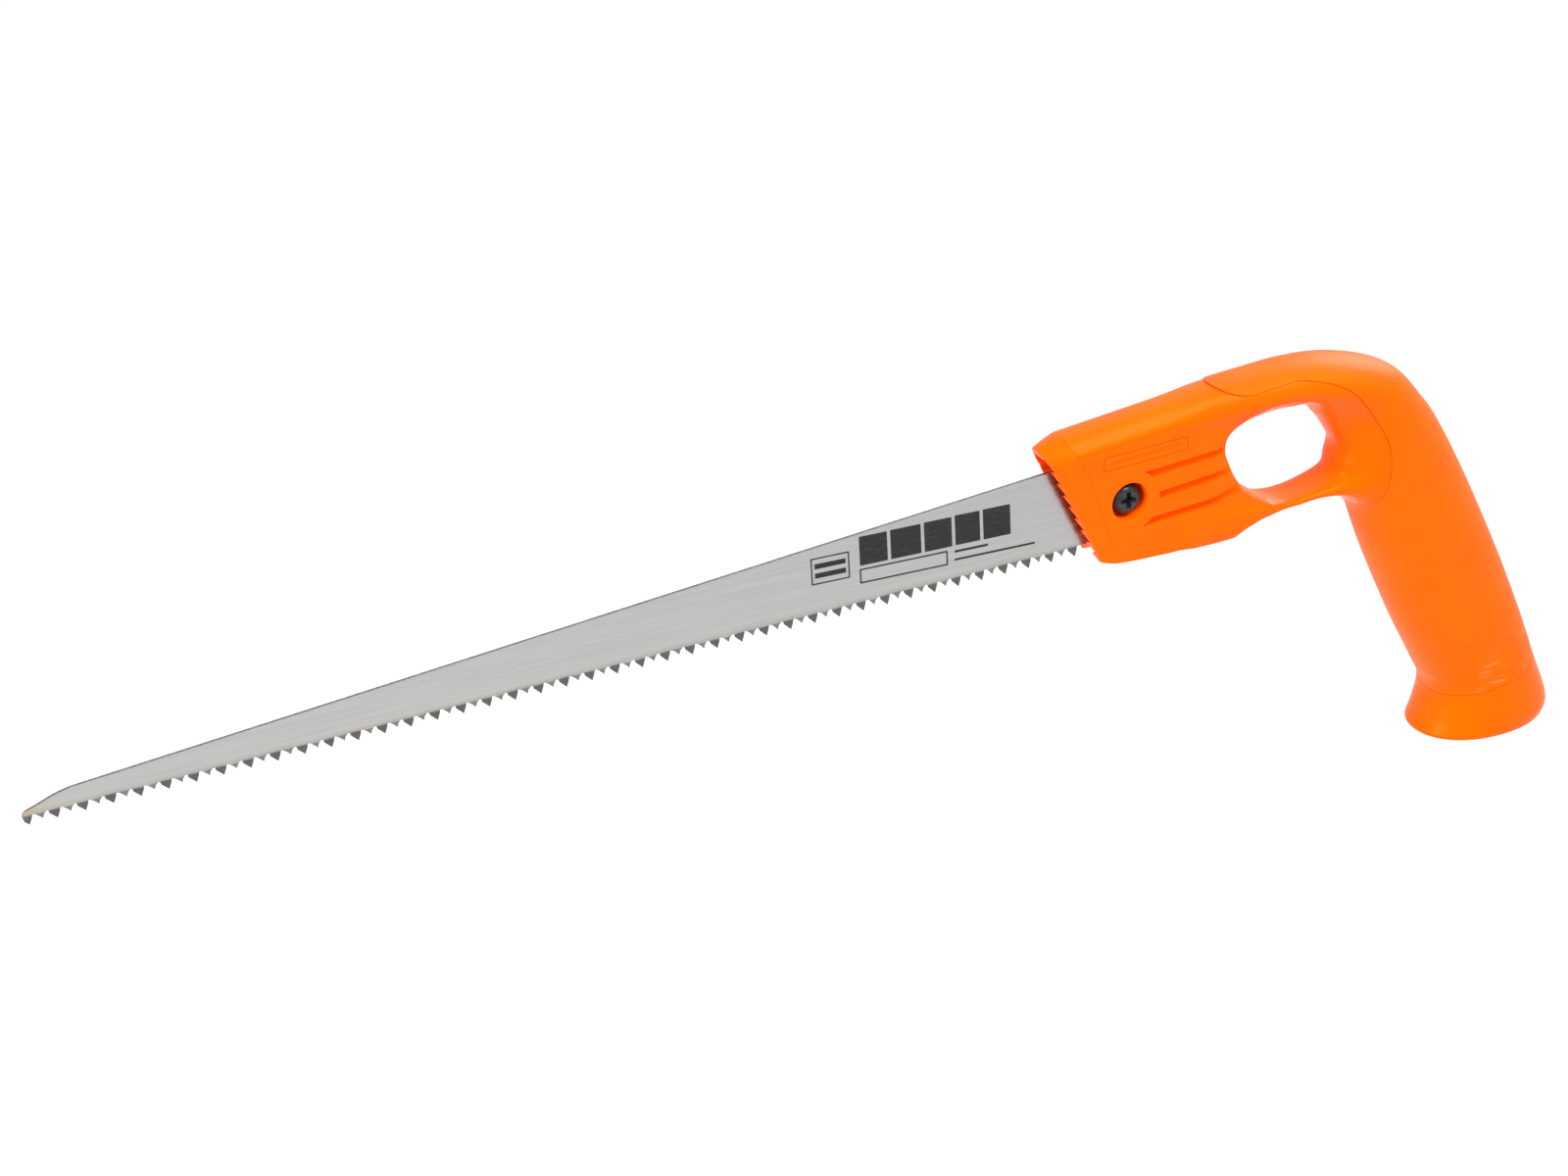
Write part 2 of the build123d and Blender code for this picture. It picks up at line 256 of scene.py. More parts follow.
# ---------------------------------------------------------------- blade
TOE_X = -416.0
TOOTH_LINE_Z = 30.0
TOOTH_LINE_DROP = 0.35
TOOTH_PITCH = 25.4 / 7
TOOTH_COUNT = 83
TOOTH_BASE_Z = 31.7
TOOTH_STEEP_RUN = 0.85
TOOTH_FLANK_RUN = 1.95
GULLET_TOP_Z = 32.5
TOOTH_SET = 0.40
TIP_BEVEL_RUN = 0.1
TIP_BEVEL_RISE = 0.45
STEEP_BEVEL = 0.45
FLANK_BEVEL = 0.75
HARDENED_Z = 32.5
BLADE_HALF_THICKNESS = 0.5
BACK_START = (-404.5, 37.3)
BACK_END = (-118.0, 57.5)
TANG_OUTLINE = [(-112.0, 58.0), (-78.0, 58.0), (-78.0, 33.5)]
TANG_SLOT_RADIUS = 2.9
TOE_CURVE = [(-416.6, 33.6), (-417.3, 33.0), (-417.55, 32.2), (-417.2, 30.9)]

# Generic printed marks on the blade's near face, without lettering, sloping with its middle line.
# Bars are left, right, bottom at the left and height; boxes have the width of their line as well.
PRINT_THICKNESS = 0.03
PRINT_SLOPE = -0.041
PRINT_BARS = [
    (-184.0, -175.6, 43.3, 8.7),
    (-174.6, -165.4, 42.9, 8.8),
    (-164.4, -156.0, 42.5, 8.9),
    (-155.0, -147.4, 42.2, 9.0),
    (-146.4, -138.0, 41.8, 9.1),
    (-155.4, -145.1, 40.0, 0.7),
    (-155.5, -130.6, 37.6, 0.6),
    (-197.5, -188.2, 45.6, 1.5),
    (-197.5, -188.2, 42.8, 1.5),
]
PRINT_BOXES = [
    (-184.2, -157.5, 37.9, 4.4, 0.45),
    (-198.6, -187.1, 41.0, 8.0, 0.4),
]

# ---------------------------------------------------------------- clamp hardware
THREAD_RADIUS = 2.46
THREAD_PITCH = 0.8
THREAD_DEPTH = 0.45
SCREW_TIP_Y = 6.8
HEAD_SEAT_Y = -3.2
HEAD_TOP_Y = -6.9
HEAD_RADIUS = 4.75
RECESS_SPAN = 5.2
RECESS_WIDTH = 1.15
RECESS_DEPTH = 2.3
WASHER_TOP_Y = -3.2
WASHER_SEAT_Y = -2.2
WASHER_RADIUS = 5.0
NUT_SEAT_Y = 3.6
NUT_OUTER_Y = 7.6


def through(rows, count):
    """Points on a smooth curve through the given rows of numbers, count steps to each gap."""
    rows = np.array(rows, float)
    padded = np.vstack([2 * rows[0] - rows[1], rows, 2 * rows[-1] - rows[-2]])
    samples = []
    for index in range(len(rows) - 1):
        before, start, end, after = padded[index:index + 4]
        for step in range(count):
            t = step / count
            bend = 2 * before - 5 * start + 4 * end - after
            twist = 3 * start - before - 3 * end + after
            samples.append(0.5 * (2 * start + (end - before) * t + bend * t * t + twist * t ** 3))
    samples.append(rows[-1])
    return np.array(samples)


def through_loop(rows, count):
    """Points on a smooth closed curve through the given rows of numbers, as plain pairs."""
    around = rows[-2:] + rows + rows[:2]
    return [tuple(point) for point in through(around, count)[2 * count:-count - 1]]


def share_of(value, start, end):
    """How far values are on their way from start to end, held between 0 and 1."""
    return np.clip((value - start) / (end - start), 0, 1)


def smooth_min(a, b, width):
    """Smaller of two distances, with the inner corner between them filled over a width."""
    share = np.clip(0.5 + 0.5 * (b - a) / width, 0, 1)
    return b + (a - b) * share - width * share * (1 - share)


def round_max(a, b, radius):
    """Larger of two distances, with the edge where they meet rounded to a radius."""
    outside = np.hypot(np.maximum(a + radius, 0), np.maximum(b + radius, 0)) - radius
    return np.minimum(np.maximum(a, b), -radius) + np.maximum(outside + radius, 0)


def oval_distance(ovals, roundness, x, y, z, end_rounding):
    """Distance to a form through ovals, on a grid of x, y and z (y runs along the middle axis)."""
    rows = [(*near, *far, half) for near, far, half in ovals]
    fine = through(rows, 24)
    centre = (fine[:, 0:2] + fine[:, 2:4]) / 2
    across = fine[:, 2:4] - fine[:, 0:2]
    depth = np.linalg.norm(across, axis=1) / 2
    across /= (2 * depth)[:, None]
    along = np.stack([across[:, 1], -across[:, 0]], axis=1)
    if np.dot(along[0], centre[1] - centre[0]) < 0:
        along = -along
    # the last oval that each point of the x-z plane lies beyond, and how far between two it is
    ahead = (x[..., None] - centre[:, 0]) * along[:, 0] + (z[..., None] - centre[:, 1]) * along[:, 1]
    crossed = ahead > 0
    last = np.clip(crossed.sum(axis=-1) - 1, 0, len(fine) - 2)
    here = np.take_along_axis(ahead, last[..., None], -1)[..., 0]
    there = np.take_along_axis(ahead, last[..., None] + 1, -1)[..., 0]
    share = np.clip(here / np.where(here - there == 0, 1, here - there), 0, 1)

    def between(values):
        return values[last] * (1 - share) + values[last + 1] * share

    middle_x, middle_z = between(centre[:, 0]), between(centre[:, 1])
    line_x, line_z = between(across[:, 0]), between(across[:, 1])
    offset = (x - middle_x) * line_x + (z - middle_z) * line_z
    half_depth, half_thickness = between(depth), between(fine[:, 4])
    before_start = -ahead[..., 0]
    beyond_end = ahead[..., -1]
    u = np.abs(offset / half_depth)[:, None, :]
    w = np.abs(y)[None, :, None] / half_thickness[:, None, :]
    norm = (u ** roundness + w ** roundness) ** (1 / roundness) + 1e-9
    slope_u = (u / norm) ** (roundness - 1) / half_depth[:, None, :]
    slope_w = (w / norm) ** (roundness - 1) / half_thickness[:, None, :]
    distance = (norm - 1) / np.hypot(slope_u, slope_w)
    ends = np.maximum(before_start, beyond_end)[:, None, :]
    return round_max(distance, ends, end_rounding)


def outline_distance(points, x, z):
    """Signed distance in the x-z plane to a closed outline, negative inside."""
    nearest = np.full(x.shape, 1e9)
    inside = np.zeros(x.shape, bool)
    for (ax, az), (bx, bz) in zip(points, points[1:] + points[:1]):
        run_x, run_z = bx - ax, bz - az
        share = np.clip(((x - ax) * run_x + (z - az) * run_z) / (run_x ** 2 + run_z ** 2), 0, 1)
        nearest = np.minimum(nearest, np.hypot(x - ax - share * run_x, z - az - share * run_z))
        if az != bz:
            crossing = (az > z) != (bz > z)
            inside ^= crossing & (x < ax + (z - az) * run_x / run_z)
    return np.where(inside, -nearest, nearest)


def side_of_line(line, x, z):
    """Distance from a line, positive on its left as it runs from its first point to its second."""
    (ax, az), (bx, bz) = line
    length = math.hypot(bx - ax, bz - az)
    return ((z - az) * (bx - ax) - (x - ax) * (bz - az)) / length


def nose_distance(x, across, z):
    """Distance to the nose block, on a grid of x and z by across."""
    to_front = side_of_line(FRONT_LINE, x, z)
    to_collar = side_of_line(COLLAR_LINE, x, z)
    forward = np.clip(to_collar / np.maximum(to_collar - to_front, 0.1), 0, 1.3) ** COLLAR_CURVE
    tail = share_of(x, *TAIL_X) * share_of(z, *TAIL_Z)
    soft = (share_of(x, *ROOF_SOFT_X) ** 2 * share_of(z, *ROOF_SOFT_Z))[:, None, :]
    side_inset = COLLAR_SIDE_INSET * forward + TAIL_INSET * tail
    cheek = np.abs(across) - NOSE_HALF_WIDTH + side_inset[:, None, :]
    outline = outline_distance(NOSE_OUTLINE, x, z)[:, None, :]
    front = to_front[:, None, :] + across ** 2 / (2 * FRONT_BOW_RADIUS)
    above = np.maximum(side_of_line(ROOF_LINE, x, z) + ROOF_RADIUS, 0)[:, None, :]
    arch = np.hypot(across, above) - ROOF_RADIUS + COLLAR_ROOF_INSET * forward[:, None, :]
    block = round_max(cheek, outline, CRISP_EDGE)
    return round_max(round_max(block, arch, ROOF_EDGE + ROOF_SOFTENING * soft), front, CRISP_EDGE)


def rim_distance(hole, x, across, z):
    """Distance to the full-round rim, from the distance outside the finger hole."""
    depth = RIM_DEPTH_LOW + (RIM_DEPTH_HIGH - RIM_DEPTH_LOW) * share_of(z, *RIM_HEIGHTS)
    round_rim = np.hypot(((hole - depth) / depth)[:, None, :], across / RIM_HALF_THICKNESS)
    outside = np.maximum(RIM_START[0] - x, RIM_START[1] - z)[:, None, :]
    return round_max((round_rim - 1) * depth[:, None, :], outside, RIM_END_ROUNDING)


def handle_distance(x_line, y_line, z_line):
    """Distance to the whole handle, without its mouth, slot and grooves."""
    x, z = np.meshgrid(x_line, z_line, indexing="ij")
    across = y_line[None, :, None]
    hand = oval_distance(HAND_OVALS, HAND_ROUNDNESS, x, y_line, z, BUTT_ROUNDING)
    strut = oval_distance(STRUT_OVALS, STRUT_ROUNDNESS, x, y_line, z, 1.0)
    hole = outline_distance(through_loop(HOLE_OUTLINE, 6), x, z)
    spine_share = share_of(z, *SPINE_HEIGHTS)[:, None, :]
    hand_fillet = STRUT_FILLET + (SPINE_FILLET - STRUT_FILLET) * spine_share
    whole = smooth_min(nose_distance(x, across, z), hand, hand_fillet)
    whole = smooth_min(whole, strut, STRUT_FILLET)
    whole = smooth_min(whole, rim_distance(hole, x, across, z), RIM_FILLET)
    edge = HOLE_EDGE + (RIM_EDGE - HOLE_EDGE) * share_of(x, *RIM_EDGE_X)
    return round_max(whole, -hole[:, None, :], edge[:, None, :])


def surface_net(field, low, step):
    """Mesh of a field's zero level: a point in each grid cell that it crosses, a quad to each edge."""
    inside = field < 0
    shape = np.array(field.shape) - 1
    corner_steps = np.array([[i, j, k] for i in (0, 1) for j in (0, 1) for k in (0, 1)])
    count = np.zeros(shape, np.int8)
    for i, j, k in corner_steps:
        count += inside[i:i + shape[0], j:j + shape[1], k:k + shape[2]]
    cells = np.argwhere((count > 0) & (count < 8))
    number = np.full(shape, -1, np.int64)
    number[tuple(cells.T)] = np.arange(len(cells))
    values = np.stack([field[tuple((cells + step_to).T)] for step_to in corner_steps], axis=1)
    total = np.zeros((len(cells), 3))
    crossings = np.zeros(len(cells))
    for a in range(8):
        for b in range(a + 1, 8):
            if np.abs(corner_steps[a] - corner_steps[b]).sum() != 1:
                continue
            va, vb = values[:, a], values[:, b]
            cut = (va < 0) != (vb < 0)
            share = np.where(cut, va / np.where(cut, va - vb, 1), 0)
            point = corner_steps[a] + share[:, None] * (corner_steps[b] - corner_steps[a])
            total += np.where(cut[:, None], point, 0)
            crossings += cut
    points = cells + total / crossings[:, None]
    faces = []
    for axis in range(3):
        other_1, other_2 = (axis + 1) % 3, (axis + 2) % 3
        start = [slice(1, None)] * 3
        start[axis] = slice(0, -1)
        end = list(start)
        end[axis] = slice(1, None)
        for flip in (False, True):
            a, b = inside[tuple(start)], inside[tuple(end)]
            edges = np.argwhere((a & ~b) if not flip else (~a & b))
            offset = np.ones(3, int)
            offset[axis] = 0
            edges = edges + offset
            keep = np.all(edges - offset >= 0, axis=1) & np.all(edges < shape, axis=1)
            edges = edges[keep]
            ring = []
            for d1, d2 in ((1, 1), (0, 1), (0, 0), (1, 0)):
                cell = edges.copy()
                cell[:, other_1] -= d1
                cell[:, other_2] -= d2
                ring.append(number[tuple(cell.T)])
            ring = np.stack(ring, axis=1)
            faces.append(ring[:, ::-1] if flip else ring)
    return low + points * step, np.vstack(faces)


def polish(points, field, low, step, rounds=3):
    """Moves points onto the zero level along the field's slope."""
    slope = np.stack(np.gradient(field, step), axis=-1)
    limit = np.array(field.shape) - 2
    for _ in range(rounds):
        place = (points - low) / step
        base = np.clip(place.astype(int), 0, limit)
        share = place - base
        value = np.zeros(len(points))
        direction = np.zeros((len(points), 3))
        for i in (0, 1):
            for j in (0, 1):
                for k in (0, 1):
                    weight = np.prod(np.where([i, j, k], share, 1 - share), axis=1)
                    index = tuple((base + [i, j, k]).T)
                    value += weight * field[index]
                    direction += weight[:, None] * slope[index]
        move = value / np.maximum((direction ** 2).sum(axis=1), 0.2)
        points = points - np.clip(move, -0.5 * step, 0.5 * step)[:, None] * direction
    return points


def new_mesh(name, points, faces):
    """A Blender object from points in millimetres and faces."""
    mesh = bpy.data.meshes.new(name)
    mesh.from_pydata((np.asarray(points, float) * MM).tolist(), [], [list(face) for face in faces])
    mesh.update()
    piece = bpy.data.objects.new(name, mesh)
    bpy.context.collection.objects.link(piece)
    return piece


def tidy_faces(piece):
    """Turns all faces outwards and splits the flat caps into triangles."""
    work = bmesh.new()
    work.from_mesh(piece.data)
    bmesh.ops.recalc_face_normals(work, faces=work.faces)
    bmesh.ops.triangulate(work, faces=[face for face in work.faces if len(face.verts) > 4])
    work.to_mesh(piece.data)
    work.free()


def ring_solid(name, rings):
    """A closed solid through rings of equally many points, flat at both ends."""
    count = len(rings[0])
    points = [point for ring in rings for point in ring]
    faces = [range(count), range((len(rings) - 1) * count, len(rings) * count)]
    for row in range(len(rings) - 1):
        for i in range(count):
            j = (i + 1) % count
            faces.append([row * count + i, row * count + j, (row + 1) * count + j, (row + 1) * count + i])
    piece = new_mesh(name, points, faces)
    tidy_faces(piece)
    return piece


def prism(name, outline, y_from, y_to):
    """A solid with one (x, z) outline between two values of y."""
    return ring_solid(name, [[(x, y, z) for x, z in outline] for y in (y_from, y_to)])


def lathe(name, profile, closed=False, segments=96):
    """A turned solid about the screw's axis, from (radius, y) pairs. A radius of 0 is a point, and a
    closed profile joins its last pair to its first."""
    points, rows, faces = [], [], []
    for radius, y in profile:
        turns = 1 if radius == 0 else segments
        rows.append([len(points) + i for i in range(turns)])
        for i in range(turns):
            angle = 2 * math.pi * i / segments
            points.append(
                (SCREW_AXIS[0] + radius * math.cos(angle), y, SCREW_AXIS[1] + radius * math.sin(angle))
            )
    pairs = list(zip(rows, rows[1:])) + ([(rows[-1], rows[0])] if closed else [])
    for here, there in pairs:
        for i in range(segments):
            j = (i + 1) % segments
            near_edge = [here[i % len(here)], here[j % len(here)]]
            far_edge = [there[j % len(there)], there[i % len(there)]]
            faces.append(list(dict.fromkeys(near_edge + far_edge)))
    piece = new_mesh(name, points, faces)
    tidy_faces(piece)
    return piece


def settle(piece):
    """Puts the result of a piece's modifiers into its mesh."""
    graph = bpy.context.evaluated_depsgraph_get()
    result = bpy.data.meshes.new_from_object(piece.evaluated_get(graph))
    old = piece.data
    piece.modifiers.clear()
    piece.data = result
    bpy.data.meshes.remove(old)


def carve(piece, tool, operation="DIFFERENCE", keep_tool=False):
    """Cuts a tool out of a piece, or keeps only what they share."""
    modifier = piece.modifiers.new("carve", "BOOLEAN")
    modifier.operation = operation
    modifier.solver = "MANIFOLD"
    modifier.object = tool
    settle(piece)
    if not keep_tool:
        bpy.data.objects.remove(tool)


def smooth(piece, angle=35.0):
    """Smooth shading, with edges sharper than an angle in degrees left sharp."""
    for polygon in piece.data.polygons:
        polygon.use_smooth = True
    piece.data.set_sharp_from_angle(angle=math.radians(angle))


def place(piece, body, slot, material, *nodes):
    """Gives a finished piece its material and body, and hides the CAD nodes that it stands for. slot is
    not used.
    """
    piece.data.materials.clear()
    piece.data.materials.append(material)
    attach(piece, body)
    if nodes:
        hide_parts(*nodes)


# ---------------------------------------------------------------- handle
def handle_fields():
    """The grid's lowest point, and the handle's distance on the grid."""
    low = np.array(GRID_LOW)
    size = np.ceil((np.array(GRID_HIGH) - low) / CELL).astype(int)
    axes = [low[i] + CELL * np.arange(size[i] + 1) for i in range(3)]
    return low, handle_distance(*axes)


def circle(radius, y, count=96):
    """A ring round the screw's axis."""
    angles = [2 * math.pi * i / count for i in range(count)]
    return [
        (SCREW_AXIS[0] + radius * math.cos(a), y, SCREW_AXIS[1] + radius * math.sin(a)) for a in angles
    ]


def hexagon(across_flats, y):
    """A hexagonal ring round the screw's axis, with two corners level with it."""
    return circle(across_flats / math.sqrt(3), y, 6)


def front_x(z):
    """Where the nose's leaning front face stands at a height."""
    (low_x, low_z), (high_x, high_z) = FRONT_LINE
    return low_x + (z - low_z) * (high_x - low_x) / (high_z - low_z)


def mouth_tool():
    """The space between the nose's two walls, with saw-tooth ridges on both."""
    wall = []
    for index in range(RIDGE_COUNT):
        top = MOUTH_TOP_Z - index * RIDGE_PITCH
        wall.append((MOUTH_HALF_WIDTH, top))
        wall.append((MOUTH_HALF_WIDTH + RIDGE_DEPTH, top - RIDGE_SHARE * RIDGE_PITCH))
    wall.append((MOUTH_HALF_WIDTH, MOUTH_TOP_Z - RIDGE_COUNT * RIDGE_PITCH))
    wall.append((MOUTH_HALF_WIDTH + MOUTH_FLARE, OPEN_BELOW_Z))
    section = wall + [(-y, z) for y, z in reversed(wall)]
    front = [(OPEN_FRONT_X, y, z) for y, z in section]
    back = [(front_x(z) + MOUTH_DEPTH, y, z) for y, z in section]
    return ring_solid("mouth_tool", [front, back])


def groove_outline(heights):
    """One groove of the cheek in (x, z): a start on the screw's ring, then two stretches."""
    start_z, bend_z, end_z = heights
    outline = []
    for step in range(GROOVE_STEPS + 1):
        z = start_z - GROOVE_WIDTH * step / GROOVE_STEPS
        run = math.sqrt(GROOVE_RING_RADIUS ** 2 - (z - SCREW_AXIS[1]) ** 2)
        outline.append((SCREW_AXIS[0] + run, z))
    for x, z in zip(GROOVE_STATIONS, (bend_z, end_z)):
        outline.append((x, z - GROOVE_WIDTH * GROOVE_TAPER))
    for x, z in zip(reversed(GROOVE_STATIONS), (end_z, bend_z)):
        outline.append((x, z))
    return outline


def rounded(corners, radius, steps=5):
    """An outline with its corners rounded."""
    outline = []
    for index, corner in enumerate(corners):
        here = Vector(corner)
        before = (Vector(corners[index - 1]) - here).normalized()
        after = (Vector(corners[(index + 1) % len(corners)]) - here).normalized()
        for step in range(steps + 1):
            t = step / steps
            curve = here + before * radius * (1 - t) ** 2 + after * radius * t ** 2
            outline.append((curve.x, curve.y))
    return outline


def inset(corners, distance):
    """The same four-sided outline drawn in on all sides."""
    centre = sum((Vector(corner) for corner in corners), Vector((0, 0))) / len(corners)
    drawn = []
    for corner in corners:
        offset = Vector(corner) - centre
        drawn.append(
            (
                corner[0] - math.copysign(distance, offset.x),
                corner[1] - math.copysign(distance, offset.y),
            )
        )
    return drawn


def cut_handle(core):
    """Cuts the mouth, slot, screw seat, nut pocket, grooves and plain label into the core."""
    carve(core, mouth_tool())
    slot = [
        (OPEN_FRONT_X, OPEN_BELOW_Z),
        (SLOT_RIGHT_X, OPEN_BELOW_Z),
        (SLOT_RIGHT_X, SLOT_TOP_Z),
        (OPEN_FRONT_X, SLOT_TOP_Z),
    ]
    carve(core, prism("slot_tool", slot, -SLOT_HALF_WIDTH, SLOT_HALF_WIDTH))
    seat_y = COUNTERBORE_DEPTH - NOSE_HALF_WIDTH
    carve(core, ring_solid("hole_tool", [circle(HOLE_RADIUS, y) for y in (-9.0, 9.0)]))
    flare = [
        circle(COUNTERBORE_RADIUS + 1.2, -NOSE_HALF_WIDTH - 0.8),
        circle(COUNTERBORE_RADIUS + 0.15, -NOSE_HALF_WIDTH + 0.05),
        circle(COUNTERBORE_RADIUS, -NOSE_HALF_WIDTH + 0.35),
        circle(COUNTERBORE_RADIUS, seat_y),
    ]
    carve(core, ring_solid("seat_tool", flare))
    pocket_y = NOSE_HALF_WIDTH - NUT_POCKET_DEPTH
    pocket = [
        hexagon(NUT_ACROSS_FLATS + 2.0, NOSE_HALF_WIDTH + 0.8),
        hexagon(NUT_ACROSS_FLATS + 0.4, NOSE_HALF_WIDTH),
        hexagon(NUT_ACROSS_FLATS + 0.2, NOSE_HALF_WIDTH - 0.2),
        hexagon(NUT_ACROSS_FLATS + 0.2, pocket_y),
    ]
    carve(core, ring_solid("pocket_tool", pocket))
    for side in (-1, 1):
        outer, floor = side * (NOSE_HALF_WIDTH + 3), side * (NOSE_HALF_WIDTH - GROOVE_DEPTH)
        for heights in GROOVES:
            carve(core, prism("groove_tool", groove_outline(heights), outer, floor))
        outer, floor = side * (NOSE_HALF_WIDTH + 1), side * (NOSE_HALF_WIDTH - LABEL_DEPTH)
        frame_tool = prism("label_tool", rounded(LABEL_CORNERS, 0.9), outer, floor)
        middle = rounded(inset(LABEL_CORNERS, LABEL_LINE), 0.7)
        carve(frame_tool, prism("label_middle", middle, 2 * outer, floor / 2))
        carve(core, frame_tool)
        carve(core, prism("label_mark", rounded(LABEL_MARK, 0.3), outer, floor))


def zone_outline(gap):
    """The grip skin's outline in (x, z), drawn in by a gap along its seams."""
    seam = through(SKIN_SEAM, 10)
    along = np.gradient(seam, axis=0)
    along /= np.linalg.norm(along, axis=1)[:, None]
    seam = seam + gap * np.stack([-along[:, 1], along[:, 0]], axis=1)
    low = [(x, z + gap) for x, z in BUTT_SEAM]
    return [tuple(point) for point in seam] + low + [(ZONE_FAR_X, ZONE_TOP_Z), (seam[0, 0], ZONE_TOP_Z)]


def make_handle():
    """The handle's core and the skin moulded over its grip."""
    low, field = handle_fields()
    points, faces = surface_net(field, low, CELL)
    points = polish(points, field, low, CELL)
    core = new_mesh("handle_core", points, faces)
    # the skin stands a little proud of the core towards its front end, on the spine
    slope = np.zeros_like(points)
    for axis, part in enumerate(np.gradient(field, CELL)):
        place_in = np.clip(np.round((points - low) / CELL).astype(int), 0, np.array(field.shape) - 1)
        slope[:, axis] = part[tuple(place_in.T)]
    slope /= np.maximum(np.linalg.norm(slope, axis=1), 0.1)[:, None]
    rise = SKIN_RISE * share_of(points[:, 0], *SKIN_RISE_X)
    skin = new_mesh("grip_skin", points + slope * rise[:, None], faces)
    coarse = slice(None, None, INNER_STRIDE)
    inner_field = field[coarse, coarse, coarse] + SKIN_THICKNESS
    inner_points, inner_faces = surface_net(inner_field, low, INNER_STRIDE * CELL)
    inner = new_mesh("inner", inner_points, inner_faces)
    carve(skin, prism("zone", zone_outline(SEAM_GAP), -ZONE_HALF_WIDTH, ZONE_HALF_WIDTH), "INTERSECT")
    carve(skin, inner, keep_tool=True)
    zone = prism("zone", zone_outline(0), -ZONE_HALF_WIDTH, ZONE_HALF_WIDTH)
    carve(zone, inner)
    carve(core, zone)
    cut_handle(core)
    smooth(core)
    smooth(skin)
    return core, skin


# ---------------------------------------------------------------- blade
def tooth_outline(index):
    """One tooth's edge in (x, z), from the middle of the gullet on its heel side towards the next."""
    tip_x = TOE_X + index * TOOTH_PITCH
    tip_z = TOOTH_LINE_Z - TOOTH_LINE_DROP * index / TOOTH_COUNT
    half_gap = (TOOTH_PITCH - TOOTH_FLANK_RUN - TOOTH_STEEP_RUN) / 2
    rise = GULLET_TOP_Z - TOOTH_BASE_Z
    turns = [math.pi / 2 * step / 3 for step in range(4)]
    steep, flank = tip_x + TOOTH_STEEP_RUN, tip_x - TOOTH_FLANK_RUN
    outline = []
    for turn in reversed(turns):
        run = half_gap * (1 - math.cos(turn))
        outline.append((steep + run, TOOTH_BASE_Z + rise * math.sin(turn)))
    outline.append((tip_x, tip_z))
    if index > 0:
        for turn in turns[:-1]:
            run = half_gap * (1 - math.cos(turn))
            outline.append((flank - run, TOOTH_BASE_Z + rise * math.sin(turn)))
    return outline


def back_outline():
    """The blade's toe, back and tang in (x, z), from the toe's point round to under the heel."""
    nose = list(reversed(TOE_CURVE))
    crown = through([TOE_CURVE[0], (-412.5, 35.0), (-408.6, 36.4), BACK_START], 4)[1:]
    return nose + [tuple(point) for point in crown] + [BACK_END] + TANG_OUTLINE


def make_blade():
    """The blade: a flat plate with its teeth bent to each side in turn below the gullets."""
    points, ring, plate, teeth = [], [], [], []

    def add(x, z, lean=0, inward=0, lift=0):
        """A point on each face, bent sideways by the set, with the face inside the set ground away."""
        depth = (GULLET_TOP_Z - z) / (GULLET_TOP_Z - TOOTH_LINE_Z)
        for side in (-1, 1):
            ground = side == -lean
            y = side * BLADE_HALF_THICKNESS + lean * TOOTH_SET * depth
            points.append((x + ground * inward, y, z + ground * lift))
        ring.append(len(ring))

    for index in reversed(range(TOOTH_COUNT)):
        outline = tooth_outline(index)
        lean = -1 if index % 2 == 0 else 1
        plate.append(len(ring))
        first = len(ring)
        tip_x = TOE_X + index * TOOTH_PITCH
        for x, z in outline:
            if x == tip_x:
                add(x, z, lean, TIP_BEVEL_RUN, TIP_BEVEL_RISE)
            else:
                share = min(1.0, (GULLET_TOP_Z - z) / (GULLET_TOP_Z - TOOTH_BASE_Z))
                add(x, z, lean, share * (-STEEP_BEVEL if x > tip_x else FLANK_BEVEL))
        teeth.append(list(range(first, len(ring) + 1)))
    for x, z in back_outline():
        plate.append(len(ring))
        add(x, z)
    faces = []
    for piece in [plate] + teeth:
        faces.append([2 * i for i in piece])
        faces.append([2 * i + 1 for i in piece])
    for i in ring:
        j = (i + 1) % len(ring)
        faces.append([2 * i, 2 * j, 2 * j + 1, 2 * i + 1])
    blade = new_mesh("blade", points, faces)
    tidy_faces(blade)
    slot = []
    for step in range(25):
        turn = math.pi / 2 + math.pi * step / 24
        slot.append(
            (
                SCREW_AXIS[0] + TANG_SLOT_RADIUS * math.cos(turn),
                SCREW_AXIS[1] + TANG_SLOT_RADIUS * math.sin(turn),
            )
        )
    slot += [(-60.0, SCREW_AXIS[1] - TANG_SLOT_RADIUS), (-60.0, SCREW_AXIS[1] + TANG_SLOT_RADIUS)]
    carve(blade, prism("tang_slot", slot, -2, 2))
    smooth(blade, 8.0)
    return blade


def finish_edges(blade, sheared, ground):
    """Gives the sheared back edge and the teeth's ground facets their own materials."""
    blade.data.materials.append(sheared)
    blade.data.materials.append(ground)
    for polygon in blade.data.polygons:
        middle_z = polygon.center.z / MM
        if middle_z > GULLET_TOP_Z + 1 and polygon.normal.z > 0.5:
            polygon.material_index = 1
        elif middle_z < GULLET_TOP_Z and abs(polygon.normal.y) < 0.9:
            polygon.material_index = 2


